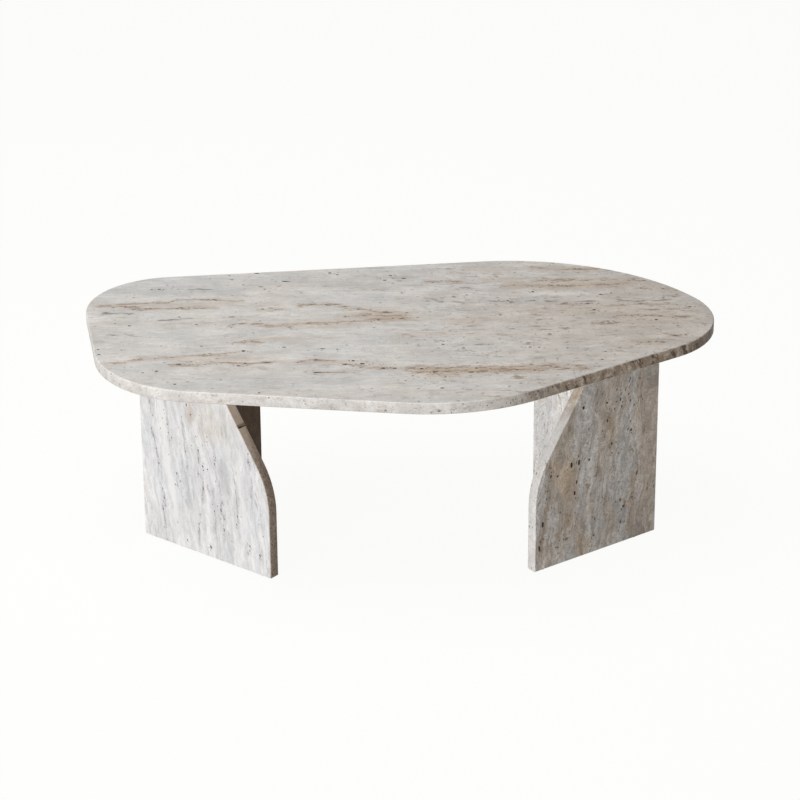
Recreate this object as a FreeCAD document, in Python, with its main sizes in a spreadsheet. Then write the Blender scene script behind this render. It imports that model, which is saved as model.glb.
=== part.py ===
import FreeCAD, Part
import math
import os
import Sketcher
from collections import namedtuple
from FreeCAD import Placement, Rotation, Vector

# Stone coffee table: a soft, uneven slab on two V-shaped bases of mitred fins.
# The floor is z = 0, the long way of the table is X, and the origin is under the middle of the top.

UP = Vector(0, 0, 1)
ORIGIN_POINT = (-1, 1)
FLAT = 1e-6
DOWEL_COUNT = 3

# Driving sizes, in millimetres and degrees
SIZES = {
    "table_height": 400,
    "top_thickness": 21,
    "top_width": 1128,
    "top_depth": 663,
    "back_left_radius": 156,
    "back_left_setback": 228,
    "shoulder_radius": 395,
    "nose_radius": 172,
    "nose_setback": 281,
    "front_right_radius": 320,
    "front_right_inset": 511,
    "front_left_radius": 208,
    "front_left_inset": 239,
    "front_left_setback": 261,
    "top_arris_width": 1.5,
    "base_overhang": 100,
    "base_forward_offset": 7.5,
    "left_base_heading": 4.5,
    "right_base_heading": 173.9,
    "v_angle": 85.5,
    "long_fin_length": 300,
    "short_fin_length": 280,
    "fin_thickness": 21,
    "fin_arris_width": 1,
    "cutaway_start_height": 123,
    "cutaway_radius": 160,
    "cutaway_angle": 56.5,
    "dowel_diameter": 5,
    "dowel_length": 14,
    "dowel_end_gap": 0.5,
    "dowel_clearance": 0.15,
    "dowel_end_distance": 60,
    "pin_diameter": 8,
    "pin_seat_depth": 25,
    "pin_projection_length": 12,
    "pin_end_gap": 1,
    "pin_clearance": 0.25,
    "pin_bevel_width": 0.8,
    "pad_diameter": 14,
    "pad_thickness": 1,
    "pad_end_inset": 22,
    "glide_diameter": 16,
    "glide_taper_width": 0.75,
    "glide_thickness": 2,
    "glide_end_inset": 22,
}

# Sizes that follow from the driving ones
DERIVED = {
    "underside_height": "=sizes.table_height - sizes.top_thickness",
    "fin_height": "=underside_height - sizes.pad_thickness - sizes.glide_thickness",
    "mitre_run": "=sizes.fin_thickness / tan(sizes.v_angle / 2)",
    "mitre_width": "=sizes.fin_thickness / sin(sizes.v_angle / 2)",
    "ramp_start_height": "=sizes.cutaway_start_height + sizes.cutaway_radius * cos(sizes.cutaway_angle)",
    "ramp_run": "=(fin_height - ramp_start_height) / tan(sizes.cutaway_angle)",
    "cutaway_run": "=sizes.cutaway_radius * (1 - sin(sizes.cutaway_angle)) + ramp_run",
    "dowel_pitch": f"=(fin_height - 2 * sizes.dowel_end_distance) / {DOWEL_COUNT - 1}",
    "pin_length": "=sizes.pin_seat_depth + sizes.pad_thickness + sizes.pin_projection_length",
    "near_pad": "=mitre_run + sizes.pad_end_inset",
    "near_glide": "=mitre_run + sizes.glide_end_inset",
}

# The outer corner of each base, as far in from the top's two ends
CORNERS = {
    "left": "sizes.base_overhang - sizes.top_width / 2",
    "right": "sizes.top_width / 2 - sizes.base_overhang",
}

# A base's long fin turns clockwise from its heading and its short fin turns the other way.
# The turn also says on which side of the outer face the inner face lies.
CLOCKWISE = 1
ANTICLOCKWISE = -1

# In plan the right base is the left one turned round, but both are cut away at the front
Fin = namedtuple("Fin", "base length turn cut_away")
FINS = {
    "left_front_fin": Fin("left", "long_fin_length", CLOCKWISE, True),
    "left_rear_fin": Fin("left", "short_fin_length", ANTICLOCKWISE, False),
    "right_front_fin": Fin("right", "short_fin_length", ANTICLOCKWISE, True),
    "right_rear_fin": Fin("right", "long_fin_length", CLOCKWISE, False),
}

# Distances along each fin from its base's corner
for label, fin in FINS.items():
    top_length = f"sizes.{fin.length} - cutaway_run" if fin.cut_away else f"sizes.{fin.length}"
    DERIVED[f"{label}_far_pad"] = f"={top_length} - sizes.pad_end_inset"
    DERIVED[f"{label}_pin"] = f"=(near_pad + {label}_far_pad) / 2"
    DERIVED[f"{label}_far_glide"] = f"=sizes.{fin.length} - sizes.glide_end_inset"

# The arcs of the top's outline in clockwise order, by their centres.
# The shoulder runs straight into the nose, so it lies where the two arcs touch.
TOP_CORNERS = {
    "back_left": (
        "sizes.back_left_radius - sizes.top_width / 2",
        "sizes.top_depth / 2 - sizes.back_left_setback",
    ),
    "shoulder": (
        "nose_x - sqrt((sizes.shoulder_radius - sizes.nose_radius)^2 - (nose_y - shoulder_y)^2)",
        "sizes.top_depth / 2 - sizes.shoulder_radius",
    ),
    "nose": (
        "sizes.top_width / 2 - sizes.nose_radius",
        "sizes.top_depth / 2 - sizes.nose_setback",
    ),
    "front_right": (
        "sizes.top_width / 2 - sizes.front_right_inset",
        "sizes.front_right_radius - sizes.top_depth / 2",
    ),
    "front_left": (
        "sizes.front_left_inset - sizes.top_width / 2",
        "sizes.front_left_setback - sizes.top_depth / 2",
    ),
}

doc = FreeCAD.newDocument("coffee_table")


def fill_sheet(name, cells):
    """Put each value in a row of its own, with its name as the alias."""
    sheet = doc.addObject("Spreadsheet::Sheet", name)
    for row, (alias, content) in enumerate(cells.items(), start=1):
        sheet.set(f"A{row}", alias)
        sheet.set(f"B{row}", str(content))
        sheet.setAlias(f"B{row}", alias)
    doc.recompute()
    return sheet


def heading_of(fin):
    """The expression for a fin's heading."""
    return f"(sizes.{fin.base}_base_heading - {fin.turn} * sizes.v_angle / 2)"


def along_fin(fin, distance):
    """Expressions for the place of a point on a fin's centre line, seen from above."""
    heading = heading_of(fin)
    inward = f"{fin.turn} * sizes.fin_thickness / 2"
    across = f"{CORNERS[fin.base]} + {distance} * cos({heading}) - {inward} * sin({heading})"
    deep = f"{distance} * sin({heading}) + {inward} * cos({heading}) - sizes.base_forward_offset"
    return across, deep


# The sheets come first, because every piece reads them
sizes = fill_sheet("sizes", SIZES)
derived = fill_sheet("derived", DERIVED)
pins = fill_sheet("pins", {
    f"{label}_{axis}": f"={place}"
    for label, fin in FINS.items()
    for axis, place in zip("xy", along_fin(fin, f"derived.{label}_pin"))
})
corners = fill_sheet("corners", {
    f"{corner}_{axis}": f"={place}"
    for corner, centre in TOP_CORNERS.items()
    for axis, place in zip("xy", centre)
})


def sketch_on(body, name, plane):
    """A sketch on one of the body's own origin planes."""
    sketch = body.newObject("Sketcher::SketchObject", name)
    origin_plane = next(item for item in body.Origin.OriginFeatures if item.Role == plane)
    sketch.AttachmentSupport = [(origin_plane, "")]
    sketch.MapMode = "FlatFace"
    return sketch


def drive(sketch, name, source, *constraint):
    """A dimension of a sketch, bound to a size."""
    index = sketch.addConstraint(Sketcher.Constraint(*constraint))
    sketch.renameConstraint(index, name)
    sketch.setExpression(f"Constraints.{name}", source)


def circle_at(sketch, name, centre, radius, start):
    """A circle whose centre and radius are bound to sizes, drawn first at about its place."""
    circle = sketch.addGeometry(Part.Circle(start, UP, 1))
    drive(sketch, f"{name}_x", centre[0], "DistanceX", *ORIGIN_POINT, circle, 3, start.x)
    drive(sketch, f"{name}_y", centre[1], "DistanceY", *ORIGIN_POINT, circle, 3, start.y)
    drive(sketch, f"{name}_radius", radius, "Radius", circle, 1)


def pad(body, sketch, thickness, backwards=False):
    """Thicken a sketch into the body's first solid."""
    feature = body.newObject("PartDesign::Pad", "slab")
    feature.Profile = sketch
    feature.Reversed = backwards
    feature.setExpression("Length", thickness)
    doc.recompute()


def pocket(body, name, sketch, depth, backwards):
    """Cut a sketch into the body, and make sure that it took something away."""
    before = body.Shape.Volume
    feature = body.newObject("PartDesign::Pocket", name)
    feature.Profile = sketch
    feature.Reversed = backwards
    feature.setExpression("Length", depth)
    doc.recompute()
    if body.Shape.Volume >= before:
        raise RuntimeError(f"{name} cut nothing from {body.Label}")


def ease(body, is_arris, width):
    """Take the sharpness off the arrises that the test picks out."""
    base = body.Tip
    edges = [f"Edge{n}" for n, edge in enumerate(base.Shape.Edges, start=1) if is_arris(edge.BoundBox)]
    feature = body.newObject("PartDesign::Chamfer", "arrises")
    feature.Base = (base, edges)
    feature.setExpression("Size", width)
    doc.recompute()


def draw_top_outline(body):
    """The top's outline: arcs, with straight edges from each to the next but where two arcs touch."""
    sketch = sketch_on(body, "outline", "XY_Plane")
    sketch.setExpression("AttachmentOffset.Base.z", "derived.underside_height")
    names = list(TOP_CORNERS)
    centres = [Vector(corners.get(f"{name}_x"), corners.get(f"{name}_y"), 0) for name in names]
    radii = [sizes.get(f"{name}_radius") for name in names]
    count = len(names)

    # The direction from each arc's centre to the place where the outline leaves it
    normals = []
    for here, name in enumerate(names):
        after = (here + 1) % count
        step = centres[after] - centres[here]
        normal = math.atan2(step.y, step.x)
        if name != "shoulder":
            normal += math.acos((radii[here] - radii[after]) / step.Length)
        normals.append(normal)

    arcs = []
    for here in range(count):
        circle = Part.Circle(centres[here], UP, radii[here])
        arcs.append(sketch.addGeometry(Part.ArcOfCircle(circle, normals[here], normals[here - 1])))
    for here, name in enumerate(names):
        after = (here + 1) % count
        if name == "shoulder":
            sketch.addConstraint(Sketcher.Constraint("Tangent", arcs[here], 1, arcs[after], 2))
            continue
        out = Vector(math.cos(normals[here]), math.sin(normals[here]), 0)
        start = centres[here] + out * radii[here]
        end = centres[after] + out * radii[after]
        edge = sketch.addGeometry(Part.LineSegment(start, end))
        sketch.addConstraint(Sketcher.Constraint("Tangent", edge, 1, arcs[here], 1))
        sketch.addConstraint(Sketcher.Constraint("Tangent", edge, 2, arcs[after], 2))

    for name, arc, centre, radius in zip(names, arcs, centres, radii):
        drive(sketch, f"{name}_radius", f"sizes.{name}_radius", "Radius", arc, radius)
        drive(sketch, f"{name}_y", f"corners.{name}_y", "DistanceY", *ORIGIN_POINT, arc, 3, centre.y)
        if name != "shoulder":
            drive(sketch, f"{name}_x", f"corners.{name}_x", "DistanceX", *ORIGIN_POINT, arc, 3, centre.x)
    return sketch


def make_tabletop():
    """The slab, with eased arrises and a blind bore above each locating pin."""
    body = doc.addObject("PartDesign::Body", "tabletop")
    pad(body, draw_top_outline(body), "sizes.top_thickness")
    ease(body, lambda box: box.ZLength < FLAT, "sizes.top_arris_width")

    sketch = sketch_on(body, "pin_bores", "XY_Plane")
    sketch.setExpression("AttachmentOffset.Base.z", "derived.underside_height")
    for label in FINS:
        centre = (f"pins.{label}_x", f"pins.{label}_y")
        start = Vector(pins.get(f"{label}_x"), pins.get(f"{label}_y"), 0)
        circle_at(sketch, label, centre, "sizes.pin_diameter / 2 + sizes.pin_clearance", start)
    pocket(body, "bores", sketch, "sizes.pin_projection_length + sizes.pin_end_gap", backwards=True)
    return body


def draw_cutaway(sketch, free_edge, top_edge):
    """The arc and the slope that lead from a fin's free edge over to its top edge."""
    free_end = sketch.getPoint(free_edge, 2)
    top_end = sketch.getPoint(top_edge, 1)
    radius = sizes.get("cutaway_radius")
    slope = math.radians(sizes.get("cutaway_angle"))
    arc_centre = free_end - Vector(radius, 0, 0)
    arc_end = arc_centre + Vector(math.sin(slope), math.cos(slope), 0) * radius

    easing_circle = Part.Circle(arc_centre, UP, radius)
    easing = sketch.addGeometry(Part.ArcOfCircle(easing_circle, 0, math.pi / 2 - slope))
    ramp = sketch.addGeometry(Part.LineSegment(arc_end, top_end))
    sketch.addConstraint([
        Sketcher.Constraint("Tangent", free_edge, 2, easing, 1),
        Sketcher.Constraint("Tangent", easing, 2, ramp, 1),
        Sketcher.Constraint("Coincident", ramp, 2, top_edge, 1),
    ])
    drive(sketch, "start", "sizes.cutaway_start_height", "DistanceY", free_edge, 1, free_edge, 2, free_end.y)
    drive(sketch, "easing", "sizes.cutaway_radius", "Radius", easing, radius)
    drive(sketch, "slope", "180 - sizes.cutaway_angle", "Angle", ramp, math.pi - slope)


def draw_fin_profile(body, fin):
    """A fin seen square on: its free edge runs up to the top, or only to the cut-away."""
    sketch = sketch_on(body, "profile", "XZ_Plane")
    length = sizes.get(fin.length)
    height = derived.get("fin_height")
    corner_foot = Vector(0, 0, 0)
    free_foot = Vector(length, 0, 0)
    corner_top = Vector(0, height, 0)
    free_end = Vector(length, height, 0)
    top_end = Vector(length, height, 0)
    if fin.cut_away:
        free_end.y = sizes.get("cutaway_start_height")
        top_end.x -= derived.get("cutaway_run")

    foot = sketch.addGeometry(Part.LineSegment(corner_foot, free_foot))
    free_edge = sketch.addGeometry(Part.LineSegment(free_foot, free_end))
    top_edge = sketch.addGeometry(Part.LineSegment(top_end, corner_top))
    corner_edge = sketch.addGeometry(Part.LineSegment(corner_top, corner_foot))
    sketch.addConstraint([
        Sketcher.Constraint("Coincident", foot, 1, *ORIGIN_POINT),
        Sketcher.Constraint("Coincident", foot, 2, free_edge, 1),
        Sketcher.Constraint("Coincident", top_edge, 2, corner_edge, 1),
        Sketcher.Constraint("Coincident", corner_edge, 2, foot, 1),
        Sketcher.Constraint("Horizontal", foot),
        Sketcher.Constraint("Vertical", free_edge),
        Sketcher.Constraint("Horizontal", top_edge),
        Sketcher.Constraint("Vertical", corner_edge),
    ])
    if fin.cut_away:
        draw_cutaway(sketch, free_edge, top_edge)
    else:
        sketch.addConstraint(Sketcher.Constraint("Coincident", free_edge, 2, top_edge, 1))
    drive(sketch, "length", f"sizes.{fin.length}", "DistanceX", foot, 1, foot, 2, length)
    drive(sketch, "height", "derived.fin_height", "DistanceY", corner_edge, 2, corner_edge, 1, height)
    return sketch


def draw_mitre(body, turn):
    """The wedge that the mitre takes off the corner end, seen from above."""
    sketch = sketch_on(body, "mitre_wedge", "XY_Plane")
    run = derived.get("mitre_run")
    inner = turn * sizes.get("fin_thickness")
    outer_corner = Vector(0, 0, 0)
    inner_corner = Vector(run, inner, 0)
    waste_corner = Vector(0, inner, 0)
    mitre = sketch.addGeometry(Part.LineSegment(outer_corner, inner_corner))
    inner_face = sketch.addGeometry(Part.LineSegment(waste_corner, inner_corner))
    end_face = sketch.addGeometry(Part.LineSegment(outer_corner, waste_corner))
    sketch.addConstraint([
        Sketcher.Constraint("Coincident", mitre, 1, *ORIGIN_POINT),
        Sketcher.Constraint("Coincident", mitre, 2, inner_face, 2),
        Sketcher.Constraint("Coincident", inner_face, 1, end_face, 2),
        Sketcher.Constraint("Coincident", end_face, 1, mitre, 1),
        Sketcher.Constraint("Horizontal", inner_face),
        Sketcher.Constraint("Vertical", end_face),
    ])
    drive(sketch, "run", "derived.mitre_run", "DistanceX", inner_face, 1, inner_face, 2, run)
    drive(sketch, "thickness", f"{turn} * sizes.fin_thickness", "DistanceY", end_face, 1, end_face, 2, inner)
    return sketch


def draw_dowel_bores(body, turn):
    """A row of circles up the middle of the mitre, on a plane turned to the mitre's angle."""
    sketch = sketch_on(body, "dowel_centres", "XZ_Plane")
    half_angle = turn * sizes.get("v_angle") / 2
    sketch.AttachmentOffset = Placement(Vector(0, 0, 0), Rotation(Vector(0, 1, 0), half_angle))
    sketch.setExpression("AttachmentOffset.Rotation.Angle", f"{turn} * sizes.v_angle / 2")
    for number in range(DOWEL_COUNT):
        height = f"sizes.dowel_end_distance + {number} * derived.dowel_pitch"
        centre = ("derived.mitre_width / 2", height)
        start_height = sizes.get("dowel_end_distance") + number * derived.get("dowel_pitch")
        start = Vector(derived.get("mitre_width") / 2, start_height, 0)
        radius = "sizes.dowel_diameter / 2 + sizes.dowel_clearance"
        circle_at(sketch, f"dowel_{number}", centre, radius, start)
    return sketch


def make_fin(label, fin):
    """A slab of a base: its outer face on the body's XZ plane, its corner edge on Z."""
    body = doc.addObject("PartDesign::Body", label)
    pad(body, draw_fin_profile(body, fin), "sizes.fin_thickness", backwards=fin.turn == CLOCKWISE)
    pocket(body, "mitre", draw_mitre(body, fin.turn), "derived.fin_height", backwards=True)

    mitre_end = derived.get("mitre_run") + FLAT
    ease(body, lambda box: box.YLength < FLAT and box.XMax > mitre_end, "sizes.fin_arris_width")

    dowel_depth = "sizes.dowel_length / 2 + sizes.dowel_end_gap"
    dowel_sketch = draw_dowel_bores(body, fin.turn)
    pocket(body, "dowel_bores", dowel_sketch, dowel_depth, backwards=fin.turn == CLOCKWISE)

    pin_sketch = sketch_on(body, "pin_centre", "XY_Plane")
    pin_sketch.setExpression("AttachmentOffset.Base.z", "derived.fin_height")
    centre = (f"derived.{label}_pin", f"{fin.turn} * sizes.fin_thickness / 2")
    start = Vector(derived.get(f"{label}_pin"), fin.turn * sizes.get("fin_thickness") / 2, 0)
    circle_at(pin_sketch, "pin", centre, "sizes.pin_diameter / 2 + sizes.pin_clearance", start)
    pocket(body, "pin_bore", pin_sketch, "sizes.pin_seat_depth", backwards=False)

    stand(body, CORNERS[fin.base], "sizes.glide_thickness", heading_of(fin))
    return body


def stand(piece, corner, lift, heading):
    """Put a piece at its base's corner, lifted and turned to its heading."""
    piece.Placement = Placement(Vector(0, 0, 0), Rotation(UP, 1))
    piece.setExpression("Placement.Base.x", corner)
    piece.setExpression("Placement.Base.y", "-sizes.base_forward_offset")
    piece.setExpression("Placement.Base.z", lift)
    piece.setExpression("Placement.Rotation.Angle", heading)


def group(label, members):
    """Like pieces of one base as one node of separate solids."""
    compound = doc.addObject("Part::Compound", label)
    compound.Links = members
    return compound


def fins_of(base):
    """The two fins of a base, with their names."""
    return [(label, fin) for label, fin in FINS.items() if fin.base == base]


def round_piece(name, shape, place, lift, sizes_of):
    """An upright round piece on a fin's centre line."""
    piece = doc.addObject(shape, name)
    for dimension, source in sizes_of.items():
        piece.setExpression(dimension, source)
    piece.setExpression("Placement.Base.x", place[0])
    piece.setExpression("Placement.Base.y", place[1])
    piece.setExpression("Placement.Base.z", lift)
    return piece


def make_dowels(base):
    """Steel dowels across the mitre, square to it and centred on it."""
    dowels = []
    for number in range(DOWEL_COUNT):
        dowel = doc.addObject("Part::Cylinder", f"{base}_dowel_{number}")
        dowel.setExpression("Radius", "sizes.dowel_diameter / 2")
        dowel.setExpression("Height", "sizes.dowel_length")
        dowel.Placement = Placement(Vector(0, 0, 0), Rotation(Vector(1, 0, 0), -90))
        dowel.setExpression("Placement.Base.x", "derived.mitre_width / 2")
        dowel.setExpression("Placement.Base.y", "-sizes.dowel_length / 2")
        dowel.setExpression("Placement.Base.z", f"sizes.dowel_end_distance + {number} * derived.dowel_pitch")
        dowels.append(dowel)
    row = group(f"{base}_mitre_dowels", dowels)
    stand(row, CORNERS[base], "sizes.glide_thickness", f"sizes.{base}_base_heading")
    return row


def make_pins(base):
    """Locating pins with bevelled ends, one in the top edge of each fin."""
    rod_sizes = {"Radius": "sizes.pin_diameter / 2", "Height": "derived.pin_length"}
    lift = "derived.underside_height - sizes.pad_thickness - sizes.pin_seat_depth"
    bevelled = []
    for label, fin in fins_of(base):
        place = along_fin(fin, f"derived.{label}_pin")
        rod = round_piece(f"{label}_rod", "Part::Cylinder", place, lift, rod_sizes)
        doc.recompute()
        bevel = sizes.get("pin_bevel_width")
        rims = [n for n, edge in enumerate(rod.Shape.Edges, start=1) if edge.isClosed()]
        pin = doc.addObject("Part::Chamfer", f"{label}_pin")
        pin.Base = rod
        pin.Edges = [(rim, bevel, bevel) for rim in rims]
        bevelled.append(pin)
    return group(f"{base}_locating_pins", bevelled)


def make_pads(base):
    """Cushion pads between the fins' top edges and the top, two on each fin."""
    pad_sizes = {"Radius": "sizes.pad_diameter / 2", "Height": "sizes.pad_thickness"}
    lift = "derived.underside_height - sizes.pad_thickness"
    pads = []
    for label, fin in fins_of(base):
        for end, distance in (("near", "near_pad"), ("far", f"{label}_far_pad")):
            place = along_fin(fin, f"derived.{distance}")
            pads.append(round_piece(f"{label}_{end}_pad", "Part::Cylinder", place, lift, pad_sizes))
    return group(f"{base}_cushion_pads", pads)


def make_glides(base):
    """Tapered glides under the fins, two on each."""
    glide_sizes = {
        "Radius1": "sizes.glide_diameter / 2 - sizes.glide_taper_width",
        "Radius2": "sizes.glide_diameter / 2",
        "Height": "sizes.glide_thickness",
    }
    glides = []
    for label, fin in fins_of(base):
        for end, distance in (("near", "near_glide"), ("far", f"{label}_far_glide")):
            place = along_fin(fin, f"derived.{distance}")
            glides.append(round_piece(f"{label}_{end}_glide", "Part::Cone", place, "0", glide_sizes))
    return group(f"{base}_glides", glides)


pieces = [make_tabletop()]
pieces += [make_fin(label, fin) for label, fin in FINS.items()]
for base in CORNERS:
    pieces += [make_dowels(base), make_pins(base), make_pads(base), make_glides(base)]
doc.recompute()

for item in doc.Objects:
    if {"Invalid", "Error"} & set(item.State):
        raise RuntimeError(f"{item.Label} did not build: {item.State}")
for piece in pieces:
    if piece.Shape.isNull() or not piece.Shape.isValid():
        raise RuntimeError(f"{piece.Label} has no valid shape")

os.makedirs("parts", exist_ok=True)
for piece in pieces:
    piece.Shape.exportStep(f"parts/{piece.Label}.step")
    print(piece.Label, len(piece.Shape.Solids), "solids", round(piece.Shape.Volume, 1), "cubic mm")
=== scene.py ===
"""Travertine coffee table: five pitted stone slabs, their finishes, the hidden fittings and the studio."""

import math
import random

import bpy
from mathutils import Matrix, Vector


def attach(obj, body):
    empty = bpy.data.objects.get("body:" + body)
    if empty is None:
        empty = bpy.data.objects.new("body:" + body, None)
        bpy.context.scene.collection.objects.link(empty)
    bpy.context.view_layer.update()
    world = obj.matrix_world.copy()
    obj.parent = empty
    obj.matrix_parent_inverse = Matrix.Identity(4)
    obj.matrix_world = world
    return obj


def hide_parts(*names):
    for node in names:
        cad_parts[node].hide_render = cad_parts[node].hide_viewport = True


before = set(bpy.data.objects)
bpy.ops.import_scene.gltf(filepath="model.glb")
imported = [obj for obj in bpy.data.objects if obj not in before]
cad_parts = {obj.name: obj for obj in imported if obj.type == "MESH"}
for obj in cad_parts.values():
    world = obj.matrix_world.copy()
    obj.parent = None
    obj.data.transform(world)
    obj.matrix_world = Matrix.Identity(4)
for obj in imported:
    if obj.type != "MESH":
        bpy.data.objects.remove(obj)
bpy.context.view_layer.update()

MM = 0.001
UP = Vector((0, 0, 1))


def compass(degrees):
    """A level direction, turned from the table's length towards its back."""
    turn = math.radians(degrees)
    return Vector((math.cos(turn), math.sin(turn), 0))


# The slabs

TOP_HEIGHT = 400
LEFT_CORNER = (-464, -7.5)
RIGHT_CORNER = (464, -7.5)
FIN_THICKNESS = 21
CUTAWAY_SLOPE = 56.5


class Slab:
    """A stone slab seen square on: u runs along side and v along up, and its beds lie at bed_turn to side."""

    def __init__(self, node, origin, side, up, face, bed_turn):
        self.node = node
        self.origin = Vector(origin) * MM
        self.side = side
        self.up = up
        self.face = face
        turn = math.radians(bed_turn)
        self.turn = turn
        self.along = side * math.cos(turn) + up * math.sin(turn)
        self.across = up * math.cos(turn) - side * math.sin(turn)

    def in_beds(self, u, v):
        """A place on the slab, as its distance along the beds and across them."""
        cos = math.cos(self.turn)
        sin = math.sin(self.turn)
        return u * cos + v * sin, v * cos - u * sin

    def beside(self, u, v, along, across):
        """A place that lies this far along the beds and across them from another one."""
        cos = math.cos(self.turn)
        sin = math.sin(self.turn)
        return u + along * cos - across * sin, v + along * sin + across * cos

    def place(self, u, v, out=0):
        """A place on the slab as a point of the table, out millimetres off its face."""
        return self.origin + (self.side * u + self.up * v + self.face * out) * MM


def fin(node, corner, heading, outward, bed_turn):
    return Slab(node, (*corner, 0), compass(heading), UP, compass(outward), bed_turn)


tabletop = Slab("tabletop", (0, 0, TOP_HEIGHT), Vector((1, 0, 0)), Vector((0, 1, 0)), UP, 0)
left_front = fin("left_front_fin", LEFT_CORNER, -38.25, -128.25, 97)
left_rear = fin("left_rear_fin", LEFT_CORNER, 47.25, 137.25, 86)
right_front = fin("right_front_fin", RIGHT_CORNER, 216.65, 306.65, 96)
right_rear = fin("right_rear_fin", RIGHT_CORNER, 131.15, 41.15, 92)


# Material nodes

class Recipe:
    """The nodes of one material, joined by short calls that take sockets or plain values."""

    def __init__(self, name):
        self.material = bpy.data.materials.new(name)
        self.material.use_nodes = True
        self.tree = self.material.node_tree
        self.shader = self.tree.nodes["Principled BSDF"]

    def feed(self, socket, value):
        if isinstance(value, bpy.types.NodeSocket):
            self.tree.links.new(value, socket)
        else:
            socket.default_value = value

    def add(self, kind, feeds, **settings):
        """A node with its settings made and its inputs fed, by name or by number."""
        node = self.tree.nodes.new(kind)
        for name, value in settings.items():
            setattr(node, name, value)
        for name, value in feeds.items():
            self.feed(node.inputs[name], value)
        return node

    def math(self, operation, first, second=0.0):
        return self.add("ShaderNodeMath", {0: first, 1: second}, operation=operation).outputs[0]

    def vector(self, operation, first, second):
        node = self.add("ShaderNodeVectorMath", {0: first, 1: second}, operation=operation)
        return node.outputs["Value" if operation in ("DOT_PRODUCT", "LENGTH") else "Vector"]

    def between(self, value, low, high, start=0.0, end=1.0):
        """Goes smoothly from start to end as the value goes from low to high."""
        feeds = {"Value": value, "From Min": low, "From Max": high, "To Min": start, "To Max": end}
        return self.add("ShaderNodeMapRange", feeds, interpolation_type="SMOOTHSTEP").outputs[0]

    def noise(self, place, sizes, detail=3.0, roughness=0.5, shift=0.0):
        """Cloudy noise whose patches have these sizes along, across and through the beds."""
        scaled = self.vector("MULTIPLY", place, [1 / size for size in sizes])
        moved = self.vector("ADD", scaled, (shift, 1.7 * shift, 2.3 * shift))
        feeds = {"Vector": moved, "Scale": 1.0, "Detail": detail, "Roughness": roughness}
        return self.add("ShaderNodeTexNoise", feeds).outputs[0]

    def mix(self, amount, first, second, blend="MIX"):
        node = self.add("ShaderNodeMix", {0: amount, 6: first, 7: second}, data_type="RGBA", blend_type=blend)
        return node.outputs[2]

    def ramp(self, value, low, high, start, end):
        """Goes evenly from start to end as the value goes from low to high."""
        feeds = {"Value": value, "From Min": low, "From Max": high, "To Min": start, "To Max": end}
        return self.add("ShaderNodeMapRange", feeds).outputs[0]

    def swing(self, pattern, reach):
        """A shift to both sides, as far as reach, that follows a noise."""
        return self.math("MULTIPLY", self.math("SUBTRACT", pattern, 0.5), 2 * reach)

    def separate(self, vector):
        return self.add("ShaderNodeSeparateXYZ", {0: vector}).outputs

    def combine(self, x, y, z):
        return self.add("ShaderNodeCombineXYZ", {0: x, 1: y, 2: z}).outputs[0]

    def object_place(self):
        return self.add("ShaderNodeTexCoord", {}).outputs["Object"]

    def place_in_mm(self):
        return self.vector("MULTIPLY", self.object_place(), (1 / MM, 1 / MM, 1 / MM))


def rgb(red, green, blue):
    return red, green, blue, 1.0


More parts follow.
